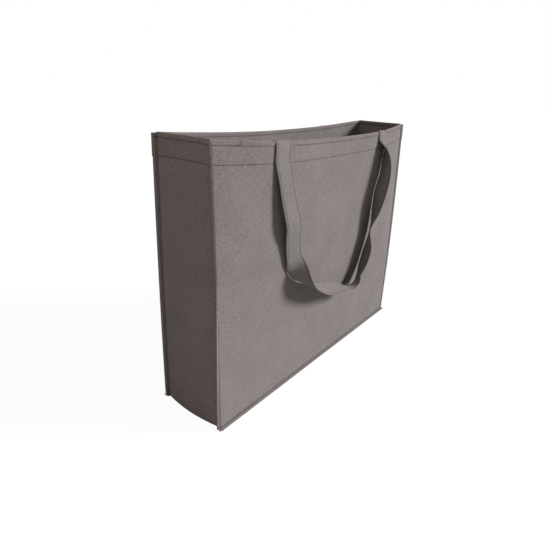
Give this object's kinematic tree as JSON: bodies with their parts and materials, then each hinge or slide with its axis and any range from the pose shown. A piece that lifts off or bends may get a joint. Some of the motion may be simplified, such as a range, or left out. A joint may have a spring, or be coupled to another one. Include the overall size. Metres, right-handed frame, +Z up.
{
  "type": "foldable tote bag",
  "caption": "Open-topped rectangular cloth shopping bag with a folding gusset and base and a strap handle on each panel.",
  "frame": {"origin": "on the floor, under the middle of the bag's bounding box", "axes": "+X to the right along the front panel, +Y from the front panel to the back panel, +Z up"},
  "size_m": [0.4584, 0.162, 0.35],
  "materials": {
    "bag_cloth": "matte woven cloth, taupe grey, fine mottled weave",
    "strap_cloth": "matte woven cloth, folded in four layers and edge-stitched",
    "sewing_thread": "dark matte polyester thread"
  },
  "bodies": {
    "front_panel_body": {"front_panel": "bag_cloth", "front_hem_thread_upper": "sewing_thread", "front_hem_thread_lower": "sewing_thread", "front_seam_thread": "sewing_thread", "front_handle_end_left": "strap_cloth", "front_handle_end_right": "strap_cloth"},
    "back_panel_body": {"back_panel": "bag_cloth", "back_hem_thread_upper": "sewing_thread", "back_hem_thread_lower": "sewing_thread", "back_seam_thread": "sewing_thread", "back_handle_end_left": "strap_cloth", "back_handle_end_right": "strap_cloth"},
    "left_front_wall": {"gusset_left_front": "bag_cloth", "gusset_left_front_hem_thread_upper": "sewing_thread", "gusset_left_front_hem_thread_lower": "sewing_thread"},
    "left_front_corner": {"base_corner_left_front": "bag_cloth"},
    "left_back_wall": {"gusset_left_back": "bag_cloth", "gusset_left_back_hem_thread_upper": "sewing_thread", "gusset_left_back_hem_thread_lower": "sewing_thread"},
    "left_back_corner": {"base_corner_left_back": "bag_cloth"},
    "right_front_wall": {"gusset_right_front": "bag_cloth", "gusset_right_front_hem_thread_upper": "sewing_thread", "gusset_right_front_hem_thread_lower": "sewing_thread"},
    "right_front_corner": {"base_corner_right_front": "bag_cloth"},
    "right_back_wall": {"gusset_right_back": "bag_cloth", "gusset_right_back_hem_thread_upper": "sewing_thread", "gusset_right_back_hem_thread_lower": "sewing_thread"},
    "right_back_corner": {"base_corner_right_back": "bag_cloth"},
    "base_front_half": {"base_front": "bag_cloth"},
    "base_back_half": {"base_back": "bag_cloth"},
    "front_handle_body": {"front_handle": "strap_cloth", "front_handle_thread_bag_side": "sewing_thread", "front_handle_thread_free_side": "sewing_thread"},
    "back_handle_body": {"back_handle": "strap_cloth", "back_handle_thread_bag_side": "sewing_thread", "back_handle_thread_free_side": "sewing_thread"}
  },
  "joints": [
    {"name": "left_front_seam", "type": "hinge", "parent": "front_panel_body", "child": "left_front_wall", "pos_m": [-0.2238, -0.0488, 0.175], "axis": [0, 0, -1], "range_deg": [0, 75]},
    {"name": "left_crease", "type": "hinge", "parent": "left_front_wall", "child": "left_back_wall", "pos_m": [-0.225, 0, 0.175], "axis": [0, 0, 1], "range_deg": [0, 150]},
    {"name": "left_back_seam", "type": "hinge", "parent": "left_back_wall", "child": "back_panel_body", "pos_m": [-0.2238, 0.0488, 0.175], "axis": [0, 0, -1], "range_deg": [0, 75]},
    {"name": "right_front_seam", "type": "hinge", "parent": "front_panel_body", "child": "right_front_wall", "pos_m": [0.2238, -0.0488, 0.175], "axis": [0, 0, 1], "range_deg": [0, 75]},
    {"name": "right_crease", "type": "hinge", "parent": "right_front_wall", "child": "right_back_wall", "pos_m": [0.225, 0, 0.175], "axis": [0, 0, -1], "range_deg": [0, 150]},
    {"name": "base_front_seam", "type": "hinge", "parent": "front_panel_body", "child": "base_front_half", "pos_m": [0, -0.0488, 0.0012], "axis": [1, 0, 0], "range_deg": [0, 75]},
    {"name": "base_crease", "type": "hinge", "parent": "base_front_half", "child": "base_back_half", "pos_m": [0, 0, 0], "axis": [-1, 0, 0], "range_deg": [0, 150]},
    {"name": "left_front_corner_tuck", "type": "hinge", "parent": "left_front_wall", "child": "left_front_corner", "pos_m": [-0.2238, -0.0244, 0.0012], "axis": [0, -1, 0], "range_deg": [0, 90], "deforming": ["base_corner_left_front"]},
    {"name": "left_back_corner_tuck", "type": "hinge", "parent": "left_back_wall", "child": "left_back_corner", "pos_m": [-0.2238, 0.0244, 0.0012], "axis": [0, -1, 0], "range_deg": [0, 90], "deforming": ["base_corner_left_back"]},
    {"name": "right_front_corner_tuck", "type": "hinge", "parent": "right_front_wall", "child": "right_front_corner", "pos_m": [0.2238, -0.0244, 0.0012], "axis": [0, 1, 0], "range_deg": [0, 90], "deforming": ["base_corner_right_front"]},
    {"name": "right_back_corner_tuck", "type": "hinge", "parent": "right_back_wall", "child": "right_back_corner", "pos_m": [0.2238, 0.0244, 0.0012], "axis": [0, 1, 0], "range_deg": [0, 90], "deforming": ["base_corner_right_back"]},
    {"name": "front_handle_swing", "type": "hinge", "parent": "front_panel_body", "child": "front_handle_body", "pos_m": [0, -0.0492, 0.34427], "axis": [-1, 0, 0], "range_deg": [0, 170], "deforming": ["front_handle_end_left", "front_handle_end_right"]},
    {"name": "back_handle_swing", "type": "hinge", "parent": "back_panel_body", "child": "back_handle_body", "pos_m": [0, 0.0538, 0.3405], "axis": [1, 0, 0], "range_deg": [0, 170], "deforming": ["back_handle_end_left", "back_handle_end_right"]}
  ],
  "couplings": [
    {"joint": "left_front_seam", "follows": "left_crease", "ratio": 0.5},
    {"joint": "left_back_seam", "follows": "left_crease", "ratio": 0.5},
    {"joint": "right_front_seam", "follows": "left_crease", "ratio": 0.5},
    {"joint": "right_crease", "follows": "left_crease", "ratio": 1},
    {"joint": "base_front_seam", "follows": "left_crease", "ratio": 0.5},
    {"joint": "base_crease", "follows": "left_crease", "ratio": 1},
    {"joint": "left_front_corner_tuck", "follows": "left_crease", "ratio": 0.6},
    {"joint": "left_back_corner_tuck", "follows": "left_crease", "ratio": 0.6},
    {"joint": "right_front_corner_tuck", "follows": "left_crease", "ratio": 0.6},
    {"joint": "right_back_corner_tuck", "follows": "left_crease", "ratio": 0.6}
  ]
}
